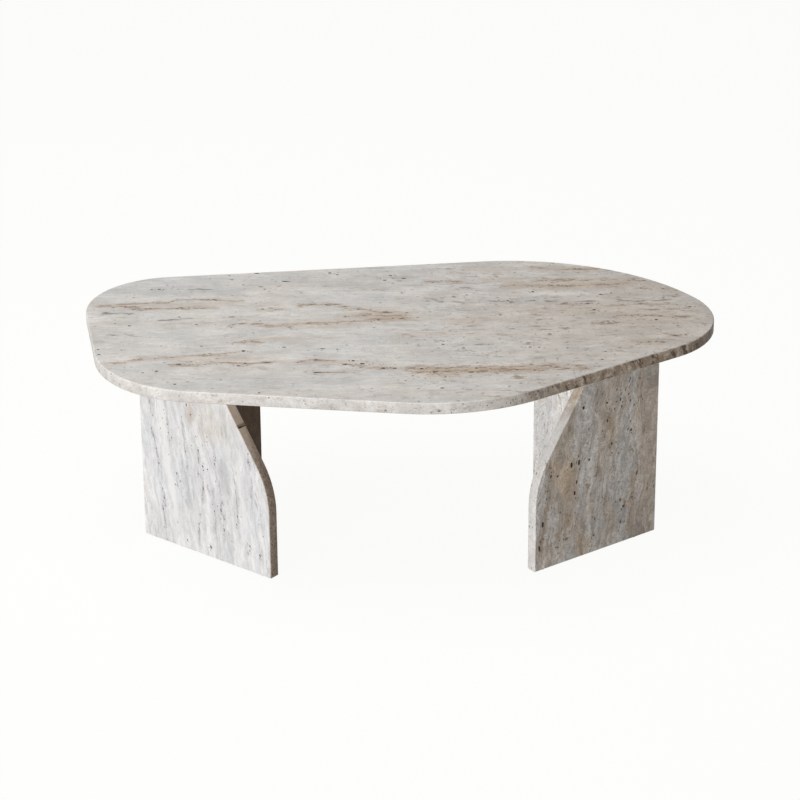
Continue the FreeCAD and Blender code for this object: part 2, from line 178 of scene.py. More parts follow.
class Stone(Recipe):
    """Travertine: clouds, beds, streaks and grain, with stains and veins laid where this slab has them."""

    def __init__(self, name, slab, sway=1.0):
        super().__init__(name)
        self.slab = slab
        here = self.vector("SUBTRACT", self.object_place(), slab.origin)
        axes = (slab.along, slab.across, slab.face)
        self.along, self.across, self.out = [self.vector("DOT_PRODUCT", here, axis / MM) for axis in axes]
        self.straight = self.combine(self.along, self.across, self.out)
        drift = self.swing(self.noise(self.straight, (150, 80, 90), 2, 0.5, 4.1), 14)
        ripple = self.swing(self.noise(self.straight, (30, 20, 22), 4, 0.6, 7.7), 8)
        jag = self.swing(self.noise(self.straight, (12, 8, 9), 3, 0.65, 2.3), 3.5)
        bent = self.math("MULTIPLY", self.math("ADD", drift, ripple), sway)
        wavy = self.math("ADD", self.across, bent)
        self.place = self.combine(self.along, wavy, self.out)
        self.nearby = self.math("ADD", self.across, self.math("ADD", self.math("MULTIPLY", ripple, 0.7), jag))
        self.ragged = self.noise(self.straight, (13, 8, 10), 4, 0.65, 2.9)
        self.broken = self.noise(self.straight, (40, 20, 24), 4, 0.65, 9.3)
        self.dashed = self.noise(self.straight, (38, 11, 15), 4, 0.62, 6.3)
        facing = self.add("ShaderNodeNewGeometry", {}).outputs["True Normal"]
        square_on = self.math("ABSOLUTE", self.vector("DOT_PRODUCT", facing, slab.face))
        self.rim = self.between(square_on, 0.9, 0.5)
        self.veined = 0.0
        self.colour = None

    def lay_beds(self, pale, warm, cool, warm_share=0.4, cool_share=0.5):
        """The ground colour: broad warm beds and cool clouds on pale stone."""
        beds = self.between(self.noise(self.place, (230, 55, 120), 5, 0.58), 0.40, 0.60)
        clouds = self.between(self.noise(self.place, (120, 58, 90), 5, 0.6, 5.3), 0.42, 0.60)
        warmed = self.mix(self.math("MULTIPLY", beds, warm_share), rgb(*pale), rgb(*warm))
        self.colour = self.mix(self.math("MULTIPLY", clouds, cool_share), warmed, rgb(*cool))

    def weather(self, depth, streaky, grainy):
        """Light and shade in the ground: clouds, long streaks, short dashes, mottling and grain."""
        clouds = self.noise(self.place, (80, 42, 60), 6, 0.62, 12.3)
        streaks = self.noise(self.place, (100, 14, 55), 5, 0.62, 1.3)
        dashes = self.noise(self.place, (32, 5.5, 18), 5, 0.66, 3.7)
        mottle = self.noise(self.place, (13, 9, 10), 5, 0.68, 10.1)
        grain = self.noise(self.place, (3.2, 2.8, 3), 3, 0.7, 6.1)
        layers = (
            (clouds, 0.12, 0.06),
            (streaks, 0.11 * streaky, 0.06 * streaky),
            (dashes, 0.13 * streaky, 0.05 * streaky),
            (mottle, 0.15 * grainy, 0.07 * grainy),
            (grain, 0.2 * grainy, 0.1 * grainy),
        )
        for pattern, dark, light in layers:
            amount = self.between(pattern, 0.32, 0.68, 1 - dark * depth, 1 + light * depth)
            self.colour = self.mix(1.0, self.colour, amount, "MULTIPLY")
        self.grain = grain
        self.dashes = dashes

    def wisps(self, colour, amount, where=1.0, sizes=(36, 5, 16)):
        """Short broken threads of colour that run with the beds, thick in some beds and thin in others."""
        threads = self.between(self.noise(self.place, sizes, 5, 0.7, 8.9), 0.55, 0.65)
        zones = self.between(self.noise(self.place, (130, 40, 90), 3, 0.55, 11.7), 0.42, 0.60, 0.25, 1.0)
        mask = self.math("MULTIPLY", self.math("MULTIPLY", threads, zones), amount)
        self.tint(self.math("MULTIPLY", mask, where), colour)

    def blotches(self, sizes, share, colour, amount, where=1.0, place=None):
        """Ragged patches of colour that cover about this share of the stone."""
        patches = self.noise(place or self.straight, sizes, 5, 0.65, 17.3 + sizes[0])
        middle = 0.70 - 0.4 * share
        mask = self.between(patches, middle - 0.05, middle + 0.05, 0.0, amount)
        self.tint(self.math("MULTIPLY", mask, where), colour)

    def tint(self, mask, colour, amount=1.0):
        """Lays this amount of a colour where the mask is."""
        if amount != 1.0:
            mask = self.math("MULTIPLY", mask, amount)
        self.colour = self.mix(mask, self.colour, rgb(*colour))

    def stain(self, u, v, long, wide, colour, amount, where=1.0):
        """A soft cloud of colour, long with the beds and wide across them."""
        middle = (*self.slab.in_beds(u, v), 0)
        offset = self.vector("SUBTRACT", self.place, middle)
        round_off = self.vector("MULTIPLY", offset, (1 / long, 1 / wide, 0.01))
        reach = self.vector("LENGTH", round_off, (0, 0, 0))
        worn = self.math("ADD", reach, self.swing(self.broken, 0.95))
        self.tint(self.math("MULTIPLY", self.between(worn, 1.1, 0.2, 0.0, amount), where), colour)

    def vein(self, points, width, colour, halo, amount):
        """A ragged line through these places of the slab: a soft halo with a dark broken thread in it."""
        line = sorted(self.slab.in_beds(u, v) for u, v in points)
        start, end = line[0][0], line[-1][0]
        low = min(place[1] for place in line) - 1
        high = max(place[1] for place in line) + 1
        run = self.ramp(self.along, start, end, 0.0, 1.0)
        curve = self.add("ShaderNodeFloatCurve", {"Value": run})
        dots = curve.mapping.curves[0].points
        while len(dots) < len(line):
            dots.new(0.5, 0.5)
        for dot, (place, height) in zip(dots, line):
            dot.location = ((place - start) / (end - start), (height - low) / (high - low))
        curve.mapping.update()
        middle = self.ramp(curve.outputs[0], 0.0, 1.0, low, high)
        off = self.math("ABSOLUTE", self.math("SUBTRACT", self.nearby, middle))
        fade = min(18.0, (end - start) / 3)
        entry = self.between(self.along, start - 4, start + fade)
        leave = self.between(self.along, end + 4, end - fade)
        held = self.math("MULTIPLY", entry, leave)

        reach = self.ramp(self.broken, 0.32, 0.68, 1.5 * width, 10 * width)
        glow = self.math("MULTIPLY", self.between(self.math("DIVIDE", off, reach), 1.0, 0.0), held)
        self.veined = self.math("MAXIMUM", self.veined, glow)
        patchy = self.between(self.ragged, 0.36, 0.62, 0.2 * amount, 0.6 * amount)
        self.tint(self.math("MULTIPLY", glow, patchy), halo)
        spread = self.between(self.ragged, 0.32, 0.68, 0.3 * width, 1.5 * width)
        core = self.between(self.math("DIVIDE", off, spread), 1.0, 0.25)
        gaps = self.between(self.dashed, 0.47, 0.58, 0.0, 0.7 * amount)
        self.tint(self.math("MULTIPLY", core, self.math("MULTIPLY", held, gaps)), colour)

    def knots(self, colour, amount, sizes=(15, 4.2, 9), start=0.64):
        """Ragged dashes in and beside the veins, thickest on their middle lines."""
        dashes = self.noise(self.straight, sizes, 5, 0.68, 0.9 + sizes[0])
        raised = self.math("ADD", dashes, self.math("MULTIPLY", self.veined, 0.12))
        near = self.between(self.veined, 0.05, 0.5)
        mask = self.math("MULTIPLY", self.between(raised, start, start + 0.12), near)
        self.tint(self.math("MULTIPLY", mask, amount), colour)

    def pinholes(self, colour, share, coarse=1.0):
        """Specks too small to cut: pinholes gathered in the veins and in some of the beds, their dark colour
        the shade inside them painted in.
        """
        spread = self.vector("MULTIPLY", self.place, [1 / (size * coarse) for size in (7.5, 4.2, 5)])
        cells = self.add("ShaderNodeTexVoronoi", {"Vector": spread, "Scale": 1.0, "Randomness": 1.0})
        chance = self.separate(cells.outputs["Color"])
        zones = self.noise(self.place, (110, 26, 70), 2, 0.5, 13.1)
        crowd = self.between(zones, 0.40, 0.66, 0.1 * share, share)
        crowd = self.math("ADD", crowd, self.math("MULTIPLY", self.veined, 1.5 * share))
        chosen = self.math("LESS_THAN", chance[0], crowd)
        size = self.between(chance[1], 0.0, 1.0, 0.14, 0.4)
        dot = self.between(self.math("DIVIDE", cells.outputs["Distance"], size), 1.0, 0.3)
        self.holes = self.math("MULTIPLY", dot, chosen)
        self.tint(self.math("MULTIPLY", self.holes, 0.75), colour)

    def finish(self, roughness=0.5):
        """Joins the colour, a honed roughness and the relief of grain and pinholes to the shader."""
        self.feed(self.shader.inputs["Base Color"], self.colour)
        dull = self.between(self.grain, 0.3, 0.7, roughness - 0.08, roughness + 0.1)
        rough = self.math("ADD", dull, self.math("MULTIPLY", self.holes, 0.25))
        self.feed(self.shader.inputs["Roughness"], rough)
        fine = self.math("MULTIPLY", self.grain, 0.3)
        relief = self.math("ADD", fine, self.math("MULTIPLY", self.dashes, 0.2))
        height = self.math("SUBTRACT", relief, self.holes)
        bump = self.add("ShaderNodeBump", {"Strength": 0.5, "Distance": 0.0006, "Height": height})
        self.feed(self.shader.inputs["Normal"], bump.outputs[0])
        self.shader.inputs["Specular IOR Level"].default_value = 0.25
        return self.material


BROWN = (0.21, 0.14, 0.09)
TAN = (0.49, 0.385, 0.285)
RUST = (0.46, 0.31, 0.19)
BEIGE = (0.60, 0.50, 0.405)
PINK = (0.55, 0.465, 0.39)
GREY = (0.40, 0.395, 0.385)
PALE_GREY = (0.58, 0.58, 0.575)
BLUE_GREY = (0.57, 0.585, 0.61)
# Painted shade: the dark of the painted pinholes, standing in for the shade inside holes too small to cut.
PINHOLE_SHADE = (0.13, 0.10, 0.08)

TOP_BROWN_VEINS = (
    (((-556, 114), (-500, 110), (-465, 105), (-450, 99), (-410, 101), (-350, 101), (-318, 90)), 2.0),
    (((-520, 120), (-480, 125), (-420, 131), (-400, 140), (-340, 143), (-318, 138), (-272, 134)), 1.8),
    (((-262, 93), (-230, 92), (-196, 94)), 2.8),
    (((-190, 110), (-150, 115), (-125, 117), (-100, 104), (-60, 88), (-20, 78), (4, 80)), 3.2),
    (((-312, -12), (-285, 23), (-260, 27), (-220, 15), (-170, 26), (-110, 30), (-35, 41), (32, 52)), 3.0),
    (((-522, -150), (-480, -148), (-450, -136), (-400, -128), (-330, -116), (-268, -103)), 2.4),
    (((-405, -154), (-370, -161), (-340, -157), (-300, -152), (-262, -158), (-230, -151), (-182, -154)), 2.4),
    (((-300, -64), (-270, -59), (-232, -62)), 2.4),
    (((-182, -154), (-165, -147), (-145, -141), (-120, -148), (-85, -164), (-50, -179), (0, -184)), 2.6),
    (((10, -188), (60, -198), (100, -194), (160, -187), (235, -193), (300, -185), (340, -190)), 4.4),
    (((-160, -205), (-135, -202), (-110, -198), (-60, -195)), 2.0),
    (((0, -176), (60, -183), (120, -177), (200, -175), (290, -172)), 2.8),
    (((30, -198), (90, -203), (150, -196), (200, -200)), 2.6),
    (((-120, 52), (-70, 62), (-30, 60), (20, 62)), 2.6),
    (((-505, 100), (-470, 97), (-430, 96)), 1.7),
    (((240, 227), (300, 231), (360, 232), (420, 228), (470, 224)), 2.6),
    (((180, 196), (240, 203), (310, 199), (380, 205), (440, 208)), 2.4),
    (((280, 106), (330, 112), (390, 101), (450, 108), (520, 103)), 2.2),
    (((380, 48), (430, 54), (490, 46), (540, 50)), 2.2),
    (((400, -66), (440, -71), (480, -64)), 2.4),
    (((425, 183), (470, 186), (506, 186)), 2.2),
    (((300, 282), (340, 284), (384, 289)), 2.4),
    (((36, 224), (80, 226), (124, 226)), 2.4),
    (((458, 0), (462, -24), (472, -34), (515, -42)), 2.0),
)
TOP_GREY_VEINS = (
    (((36, 130), (90, 124), (180, 127), (245, 126), (330, 122), (440, 127), (545, 120)), 1.8),
    (((-540, 74), (-500, 78), (-462, 70)), 2.2),
    (((-446, 39), (-400, 48), (-362, 52)), 2.4),
    (((190, -9), (250, -7), (312, -6)), 1.4),
    (((96, -79), (140, -78), (196, -80)), 1.2),
    (((-534, -34), (-490, -26), (-450, -30)), 2.2),
    (((-400, 192), (-330, 194)), 1.6),
)
TOP_STAINS = (
    (-410, 205, 170, 50, (0.60, 0.605, 0.61), 0.75),
    (-20, 235, 190, 60, (0.60, 0.59, 0.575), 0.7),
    (-230, -235, 200, 40, (0.625, 0.62, 0.61), 0.7),
    (280, 158, 100, 18, (0.75, 0.745, 0.73), 0.8),
    (330, 206, 190, 30, PINK, 0.75),
    (310, 290, 90, 18, PINK, 0.7),
    (190, 285, 60, 22, PINK, 0.4),
    (130, 36, 90, 22, BEIGE, 0.5),
    (300, 80, 130, 34, PINK, 0.5),
    (440, 40, 90, 60, PINK, 0.5),
    (430, -68, 50, 14, PINK, 0.6),
    (-40, 62, 90, 26, TAN, 0.4),
    (-20, 44, 60, 14, RUST, 0.35),
    (-215, -50, 60, 22, BEIGE, 0.5),
    (-130, 20, 120, 30, BEIGE, 0.35),
    (-420, 116, 130, 18, TAN, 0.42),
    (-340, -134, 150, 18, TAN, 0.36),
    (-130, -150, 110, 16, TAN, 0.32),
    (150, -188, 170, 18, RUST, 0.42),
    (90, -282, 120, 16, BEIGE, 0.35),
    (200, 236, 60, 14, BEIGE, 0.4),
    (-10, 246, 50, 12, BROWN, 0.3),
)


def tabletop_stone():
    stone = Stone("tabletop_travertine", tabletop)
    stone.lay_beds((0.705, 0.69, 0.665), (0.62, 0.565, 0.505), (0.64, 0.645, 0.645))
    stone.stain(420, 40, 420, 330, (0.585, 0.535, 0.482), 0.72)
    for stain in TOP_STAINS:
        stone.stain(*stain)
    # Painted light on the edge: the whole edge is tinted paler, partly its own paler stone and partly a
    # painted highlight. Its right-hand stretch, turned from the light, is tinted dark brown, partly brown
    # stone and partly painted shade.
    right_rim = stone.math("MULTIPLY", stone.rim, stone.between(stone.along, 140, 330))
    stone.tint(stone.rim, (0.765, 0.755, 0.74), 0.7)
    stone.tint(right_rim, (0.43, 0.35, 0.28), 0.9)
    stone.weather(1.0, 0.55, 0.45)
    to_the_right = stone.between(stone.along, -150, 200, 0.35, 1.0)
    stone.wisps((0.27, 0.215, 0.165), 0.9, to_the_right, (42, 14, 16))
    stone.blotches((24, 14, 12), 0.16, (0.31, 0.25, 0.195), 0.75, to_the_right)
    stone.blotches((11, 12, 9), 0.13, (0.22, 0.175, 0.135), 0.85, to_the_right)
    stone.blotches((11, 10, 9), 0.3, (0.54, 0.475, 0.41), 0.4, stone.rim)
    stone.blotches((4, 4.5, 4), 0.2, (0.50, 0.44, 0.38), 0.5, stone.rim)
    stone.blotches((6, 6, 5), 0.17, (0.33, 0.27, 0.21), 0.8, stone.rim)
    lean = stone.math("ADD", stone.along, stone.math("MULTIPLY", stone.out, 0.7))
    leaning = stone.combine(lean, stone.across, stone.out)
    stone.blotches((9, 8, 7), 0.36, (0.72, 0.66, 0.58), 0.65, right_rim)
    stone.blotches((22, 18, 26), 0.48, (0.28, 0.215, 0.155), 0.8, right_rim)
    stone.blotches((12, 11, 46), 0.36, (0.09, 0.065, 0.045), 0.95, right_rim, leaning)
    for points, width in TOP_GREY_VEINS:
        stone.vein(points, width, GREY, PALE_GREY, 1.0)
    stone.knots((0.22, 0.20, 0.18), 0.85, (26, 9, 9), 0.57)
    stone.veined = 0.0
    for points, width in TOP_BROWN_VEINS:
        stone.vein(points, width, BROWN, TAN, 0.9)
    stone.knots((0.30, 0.215, 0.145), 0.65, (42, 8, 14), 0.60)
    stone.knots((0.12, 0.08, 0.055), 0.95, (17, 7.5, 9), 0.64)
    stone.pinholes(PINHOLE_SHADE, 0.24, 1.5)
    return stone.finish()


LEFT_FRONT_VEINS = (
    (((25, 222), (35, 182), (42, 150), (45, 110), (50, 80), (47, 62), (53, 28)), 1.5),
    (((128, 218), (137, 205), (135, 190), (147, 176), (158, 172)), 1.5),
    (((175, 204), (176, 182)), 1.2),
    (((184, 168), (188, 140), (190, 118), (186, 104), (194, 84), (193, 64), (200, 32)), 1.6),
    (((135, 165), (147, 140), (146, 128)), 1.2),
    (((133, 64), (132, 18)), 1.2),
    (((160, 28), (158, 14)), 1.6),
    (((254, 234), (262, 180), (258, 160), (260, 118)), 1.5),
    (((246, 72), (248, 24)), 1.4),
    (((276, 46), (276, 30)), 1.2),
    (((84, 152), (86, 118)), 1.2),
    (((96, 262), (104, 228), (106, 190), (112, 150)), 1.1),
    (((150, 170), (143, 122), (139, 84), (132, 64)), 1.4),
    (((166, 150), (170, 112), (174, 70), (178, 30)), 1.1),
    (((214, 210), (222, 166), (226, 120), (224, 70)), 1.2),
    (((60, 300), (64, 240), (70, 190)), 1.0),
    (((20, 330), (24, 280), (30, 236)), 1.2),
)


def left_front_stone():
    stone = Stone("left_front_travertine", left_front)
    stone.lay_beds((0.83, 0.835, 0.85), (0.805, 0.80, 0.775), (0.75, 0.765, 0.795), 0.35, 0.7)
    stone.stain(165, 268, 60, 50, (0.745, 0.715, 0.665), 0.7)
    stone.stain(122, 275, 34, 12, RUST, 0.4)
    stone.stain(105, 120, 60, 12, BLUE_GREY, 0.5)
    stone.stain(197, 180, 50, 18, BLUE_GREY, 0.55)
    stone.stain(207, 40, 50, 10, BLUE_GREY, 0.5)
    # The edges are tinted brown. The upper stretch of the sloping cut-away is then tinted pale, a painted
    # highlight where the slope faces up to the light.
    stone.tint(stone.rim, (0.50, 0.385, 0.30), 0.9)
    high = stone.math("MULTIPLY", stone.rim, stone.between(stone.along, 150, 250))
    stone.tint(high, (0.97, 0.835, 0.70), 0.95)
    # Painted shade: the inner face, in the hollow between the two fins, is tinted darker.
    inside = stone.between(stone.out, 2 - FIN_THICKNESS, 1 - FIN_THICKNESS)
    stone.tint(inside, (0.62, 0.55, 0.48), 0.6)
    stone.weather(0.65, 1.6, 0.55)
    # The painted highlight on the upper cut-away is laid again over the weathering.
    stone.tint(high, (0.97, 0.835, 0.70), 0.5)
    off_rim = stone.between(stone.rim, 0.0, 1.0, 1.0, 0.15)
    stone.wisps((0.42, 0.425, 0.44), 0.75, off_rim)
    stone.stain(62, 160, 190, 13, (0.84, 0.84, 0.845), 0.8, off_rim)
    stone.stain(238, 130, 120, 9, (0.83, 0.83, 0.835), 0.6, off_rim)
    for points, width in LEFT_FRONT_VEINS:
        stone.vein(points, width, (0.27, 0.27, 0.285), (0.55, 0.555, 0.575), 0.75)
    stone.knots((0.38, 0.385, 0.40), 0.5, (44, 3.6, 14), 0.58)
    stone.knots((0.20, 0.20, 0.21), 0.65, (15, 3.2, 9), 0.64)
    low = stone.math("SUBTRACT", stone.rim, high)
    stone.blotches((9, 7, 7), 0.34, (0.28, 0.215, 0.16), 0.55, low)
    stone.blotches((5, 4, 4), 0.34, (0.82, 0.715, 0.605), 0.45, stone.rim)
    stone.blotches((4.5, 4, 3.5), 0.32, (0.10, 0.07, 0.05), 0.7, low)
    stone.stain(236, 277, 5, 30, (0.16, 0.115, 0.08), 0.7, stone.rim)
    stone.pinholes((0.24, 0.23, 0.23), 0.08)
    return stone.finish()


RIGHT_FRONT_VEINS = (
    (((40, 150), (46, 130), (55, 100), (60, 58), (62, 20)), 2.4),
    (((246, 216), (248, 180), (250, 130), (258, 100), (263, 60), (268, 16)), 3.4),
    (((120, 276), (115, 262), (110, 240), (98, 218)), 2.8),
    (((142, 330), (143, 290), (142, 262)), 1.8),
    (((38, 340), (40, 280), (30, 230), (12, 200)), 2.4),
    (((200, 108), (205, 85), (225, 55), (215, 40)), 2.6),
    (((120, 112), (122, 88)), 1.6),
    (((168, 378), (163, 360), (158, 338)), 2.6),
    (((86, 92), (74, 80), (62, 62)), 2.0),
    (((143, 190), (139, 165), (144, 140)), 2.2),
    (((146, 50), (152, 30), (160, 12)), 2.2),
)


def right_front_stone():
    stone = Stone("right_front_travertine", right_front, 2.0)
    stone.lay_beds((0.83, 0.815, 0.79), (0.73, 0.64, 0.545), (0.78, 0.785, 0.785), 0.85, 0.55)
    stone.stain(20, 180, 200, 26, (0.66, 0.57, 0.485), 0.75)
    stone.stain(75, 180, 140, 26, (0.75, 0.745, 0.735), 0.75)
    stone.stain(108, 215, 50, 16, (0.61, 0.495, 0.38), 0.65)
    stone.stain(208, 165, 56, 26, (0.78, 0.635, 0.475), 0.75)
    stone.stain(182, 25, 44, 20, (0.75, 0.61, 0.455), 0.7)
    stone.stain(240, 190, 60, 12, (0.62, 0.485, 0.355), 0.65)
    stone.stain(266, 110, 50, 10, (0.74, 0.74, 0.735), 0.8)
    stone.tint(stone.rim, (0.90, 0.89, 0.875), 0.85)
    high = stone.math("MULTIPLY", stone.rim, stone.between(stone.along, 225, 300))
    stone.tint(high, (0.80, 0.655, 0.51), 0.85)
    stone.weather(1.6, 1.25, 0.7)
    low_rim = stone.math("MULTIPLY", stone.rim, stone.between(stone.along, 300, 225))
    stone.tint(low_rim, (0.89, 0.885, 0.875), 0.5)
    off_rim = stone.between(stone.rim, 0.0, 1.0, 1.0, 0.2)
    stone.wisps((0.86, 0.85, 0.835), 0.6, off_rim, (75, 11, 30))
    stone.wisps((0.31, 0.24, 0.18), 0.9, off_rim)
    stone.blotches((9, 6, 8), 0.2, (0.32, 0.255, 0.19), 0.6, off_rim)
    stone.blotches((6, 3.6, 4), 0.2, (0.31, 0.25, 0.19), 0.7, off_rim)
    stone.blotches((5, 4.5, 4), 0.2, (0.62, 0.585, 0.54), 0.6, stone.rim)
    for points, width in RIGHT_FRONT_VEINS:
        stone.vein(points, width, (0.29, 0.215, 0.15), (0.56, 0.44, 0.32), 0.65)
    stone.knots((0.32, 0.245, 0.175), 0.5, (38, 6, 14), 0.59)
    stone.knots((0.18, 0.13, 0.09), 0.75)
    stone.pinholes(PINHOLE_SHADE, 0.34, 1.5)
    return stone.finish()


def left_rear_stone():
    stone = Stone("left_rear_travertine", left_rear)
    stone.lay_beds((0.72, 0.69, 0.65), (0.63, 0.56, 0.485), (0.68, 0.68, 0.675), 0.7, 0.5)
    # Painted shade: the inner face, deep in the shade between the two fins, is tinted dark brown, while the
    # outer face keeps the pale stone.
    inside = stone.between(stone.out, 2 - FIN_THICKNESS, 1 - FIN_THICKNESS)
    stone.tint(inside, (0.255, 0.165, 0.102), 0.95)
    stone.weather(1.3, 1.1, 1.0)
    stone.wisps((0.30, 0.235, 0.175), 0.8)
    stone.pinholes(PINHOLE_SHADE, 0.16)
    return stone.finish()


def right_rear_stone():
    stone = Stone("right_rear_travertine", right_rear, 1.6)
    stone.lay_beds((0.92, 0.915, 0.91), (0.88, 0.83, 0.77), (0.86, 0.87, 0.875), 0.4, 0.6)
    stone.weather(0.95, 1.3, 0.9)
    stone.wisps((0.62, 0.54, 0.45), 0.6, 1.0, (70, 12, 24))
    stone.wisps((0.31, 0.255, 0.205), 0.9)
    stone.blotches((6, 4.5, 5), 0.25, (0.52, 0.45, 0.38), 0.6)
    stone.pinholes((0.2, 0.17, 0.14), 0.12)
    return stone.finish()


def pit_lining():
    """The dark lining inside the open pits: partly a dark crust, partly painted shade that keeps the pits
    dark under any light.
    """
    lining = Recipe("pit_lining")
    place = lining.place_in_mm()
    crust = lining.noise(place, (2.5, 2.5, 2.5), 3, 0.6)
    # Painted shade in part: the lining is far darker than the stone, so the pits read dark whatever light
    # falls in them.
    colour = lining.mix(crust, rgb(0.06, 0.045, 0.034), rgb(0.27, 0.21, 0.155))
    lining.feed(lining.shader.inputs["Base Color"], colour)
    lining.feed(lining.shader.inputs["Roughness"], lining.between(crust, 0.3, 0.7, 0.8, 0.95))
    bump = lining.add("ShaderNodeBump", {"Strength": 0.6, "Distance": 0.0005, "Height": crust})
    lining.feed(lining.shader.inputs["Normal"], bump.outputs[0])
    lining.shader.inputs["Specular IOR Level"].default_value = 0.1
    return lining.material


# Cutting the slabs

ARRIS_WIDTH = 0.5
CRACK_PLACE = (236, 277)
CRACK_LENGTH = 19
CRACK_WIDTH = 2.6
PIT_SEEDS = (3, 8, 14, 21)

# Open pits, each as its place on the slab, its length with the beds and its width
TOP_PITS = (
    (-479, 19, 7, 4.5), (-439, 195, 7, 4.5), (-453, 193, 6, 3.5), (-209, 231, 15.5, 4.5),
    (-263, 273, 9.5, 4.5), (-128, 273, 7, 4.5), (-114, 263, 7, 3.5), (-308, 241, 8, 3.5),
    (-286, 215, 6, 3.5), (-253, 205, 9.5, 2.5), (-220, 207, 8, 2.5), (-299, 58, 14, 3.5),
    (-393, 59, 4.5, 3.5), (-360, 23, 6, 3.5), (-448, 100, 7, 3.5), (-494, 110, 6, 3.5),
    (-345, -77, 6, 3.5), (-200, -84, 8, 3.5), (-132, -92, 9.5, 3.5), (-107, -95, 4.5, 3.5),
    (-270, -100, 7, 6.5), (-275, -166, 8, 4.5), (-415, -187, 7, 4.5), (-380, -244, 6, 4.5),
    (-521, -112, 6, 4.5), (-525, -90, 4.5, 3.5), (-78, -147, 6, 5.5), (-62, -160, 9.5, 6.5),
    (-92, -164, 8, 3.5), (-25, -180, 6, 5.5), (-6, -181, 8, 4.5), (-140, -197, 16, 4.5),
    (78, -75, 6, 4.5), (113, -92, 8, 3.5), (230, -90, 7, 4.5), (246, -91, 4.5, 3.5), (40, -183, 7, 4.5),
    (134, -182, 6, 4.5), (125, -200, 11.5, 4.5), (234, -192, 7, 3.5), (80, -220, 6, 3.5),
    (74, -267, 7, 4.5), (360, -112, 4.5, 3.5), (352, -147, 6, 3.5), (295, -95, 4.5, 3.5),
    (267, -30, 7, 3.5), (352, 82, 7, 5.5), (460, 33, 6, 5.5), (245, 172, 6, 5.5), (368, 157, 6, 4.5),
    (388, 163, 4.5, 4.5), (183, 60, 6, 4.5), (246, 130, 4.5, 3.5), (198, 130, 6, 3.5),
    (182, 131, 4.5, 2.5), (444, 187, 6, 3.5), (525, 94, 8, 4.5), (480, 137, 6, 3.5), (100, 152, 8, 2.5),
    (6, 170, 4.5, 3.5), (10, 243, 9.5, 4.5), (-15, 258, 7, 4.5), (15, 73, 6, 3.5), (-25, 234, 8, 5),
    (2, 248, 7, 4), (-8, 252, 4.5, 3.5), (-34, 246, 4.5, 2.5), (-36, 40, 7, 4), (-48, 30, 4.5, 2.5),
)
LEFT_FRONT_PITS = (
    (113, 288, 6, 2.5), (122, 272, 3, 3), (137, 206, 5, 3), (147, 178, 4.5, 3), (158, 175, 3, 3),
    (175, 190, 6.5, 2), (35, 182, 3, 2.5), (40, 154, 4.5, 2.5), (50, 88, 4.5, 2.5), (47, 65, 4.5, 2.5),
    (83, 146, 4.5, 2.5), (146, 134, 6, 2), (135, 160, 4.5, 2), (190, 118, 3, 2), (187, 103, 7.5, 2.5),
    (193, 66, 7.5, 2.5), (194, 88, 4.5, 2), (133, 60, 3, 2.5), (160, 22, 6.5, 3), (103, 19, 3, 3),
    (255, 232, 4.5, 2), (255, 216, 4.5, 2), (276, 40, 6.5, 2.5), (253, 52, 5, 2.5), (285, 81, 3, 2),
)
RIGHT_FRONT_PITS = (
    (182, 190, 11, 5.5), (199, 189, 11, 7), (184, 207, 9, 3), (191, 132, 9, 6), (187, 153, 7, 4.5),
    (263, 91, 11, 7), (270, 46, 12, 6), (174, 293, 7.5, 6), (62, 220, 6, 4.5), (120, 288, 4.5, 4.5),
    (118, 253, 6, 4.5), (161, 248, 4.5, 3), (231, 176, 4.5, 4.5), (246, 180, 7, 4.5), (159, 188, 6, 4.5),
    (84, 88, 6, 4.5), (94, 87, 3.5, 3), (76, 73, 6, 5.5), (143, 68, 7, 3), (46, 130, 11.5, 3),
    (20, 92, 7, 3), (68, 319, 12.5, 2.5), (88, 297, 6, 3), (98, 308, 6, 3), (89, 286, 6, 4.5),
    (70, 292, 6, 3), (66, 278, 6, 3), (86, 272, 6, 3), (99, 284, 4.5, 2.5), (57, 267, 6, 3),
    (102, 272, 4.5, 3), (78, 302, 4.5, 2.5), (65, 238, 4.5, 3), (122, 90, 6, 2.5), (82, 43, 9, 2.5),
    (145, 35, 3.5, 4.5), (107, 205, 6, 4.5), (106, 187, 4.5, 3),
)


def deselect_all():
    bpy.ops.object.select_all(action="DESELECT")


def model_pit(seed):
    """A small uneven hollow of unit size, to be cut out of a slab."""
    deselect_all()
    bpy.ops.mesh.primitive_ico_sphere_add(subdivisions=2, radius=1)
    bpy.ops.object.mode_set(mode="EDIT")
    bpy.ops.mesh.select_all(action="SELECT")
    bpy.ops.transform.vertex_random(offset=0.24, uniform=0.6, normal=0.2, seed=seed)
    bpy.ops.object.mode_set(mode="OBJECT")
    return bpy.context.active_object


